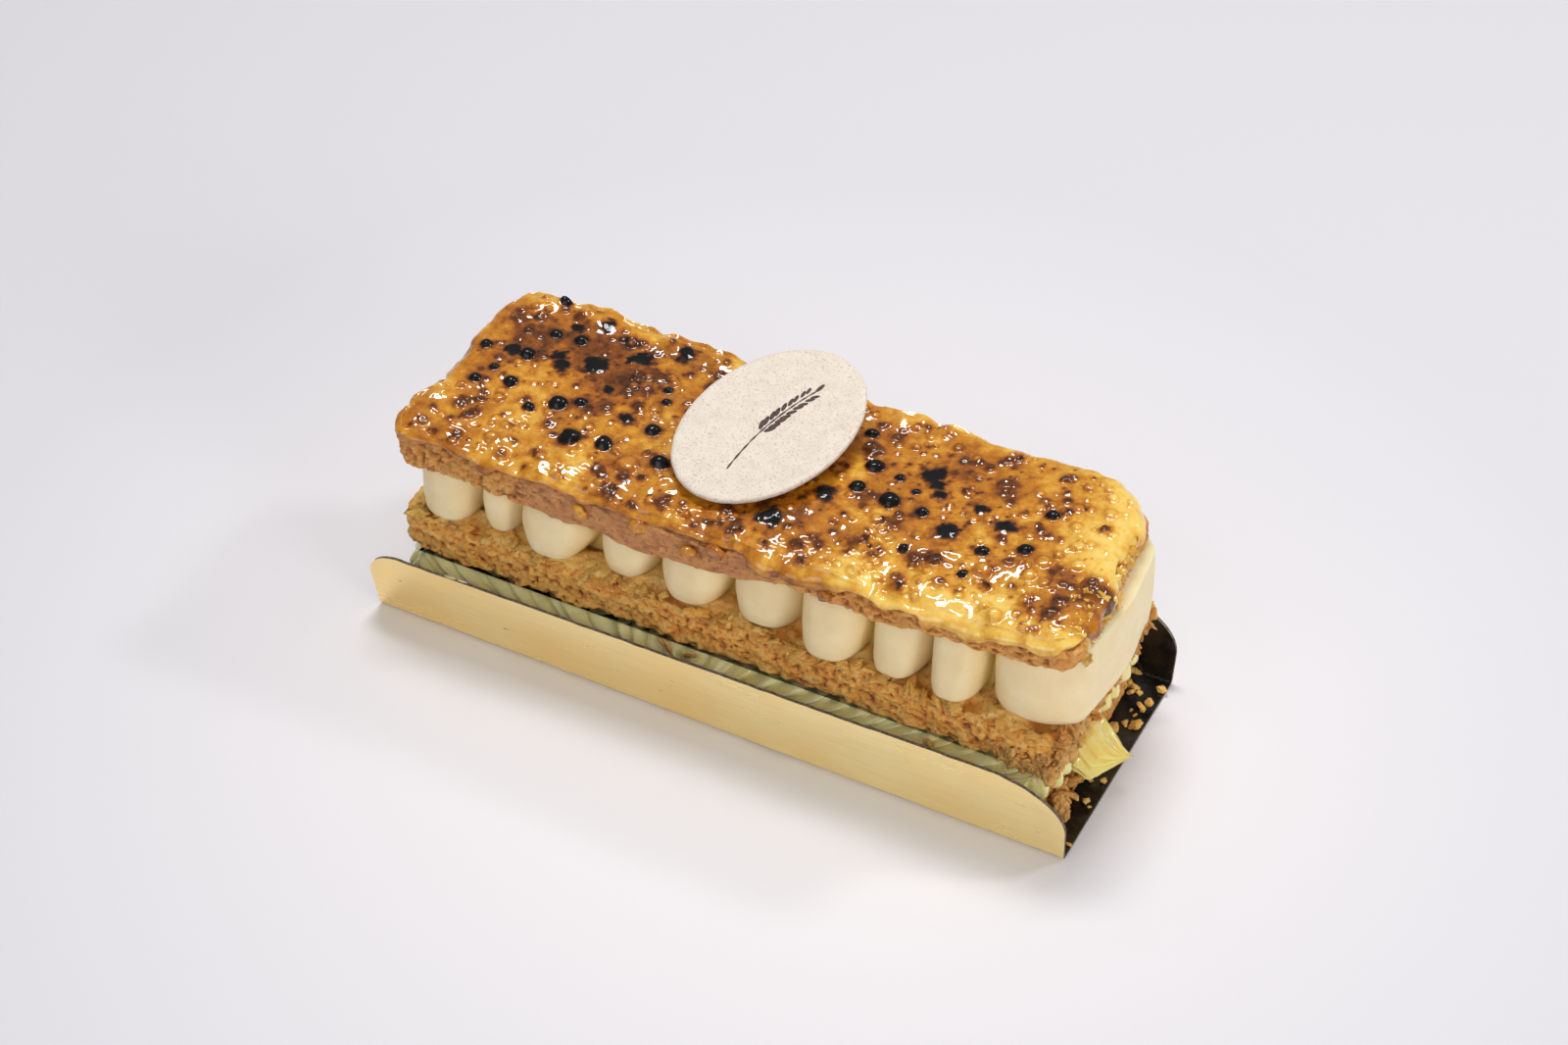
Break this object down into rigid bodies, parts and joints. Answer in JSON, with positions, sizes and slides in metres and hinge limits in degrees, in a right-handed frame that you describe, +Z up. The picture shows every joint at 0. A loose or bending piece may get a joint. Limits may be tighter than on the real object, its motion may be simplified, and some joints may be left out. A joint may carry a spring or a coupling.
{
  "type": "mille feuille slice",
  "caption": "Oblong slice of flaky pastry layers with piped custard and cream, a toasted sugar glaze and a bare oval plaque, in a folded gilt card case.",
  "frame": {"origin": "under the middle of the whole object, on the surface that the card case rests on", "axes": "+X along the slice towards its piped custard point, +Y from the front to the back, +Z up"},
  "size_m": [0.1328, 0.0502, 0.0473],
  "materials": {
    "gilt_card": "satin gilt outside, glossy black inside",
    "pastry": "baked, crumbly and flaky",
    "custard": "moist and slightly translucent",
    "cream": "smooth, soft satin",
    "glaze": "wet gloss, translucent, with burnt bubbles",
    "plaque": "matt and finely speckled"
  },
  "bodies": {
    "root": {"card_case": "gilt_card", "base_pastry": "pastry", "custard": "custard", "middle_pastry": "pastry", "cream": "cream", "top_pastry": "pastry", "glaze": "glaze", "plaque": "plaque"}
  },
  "joints": []
}
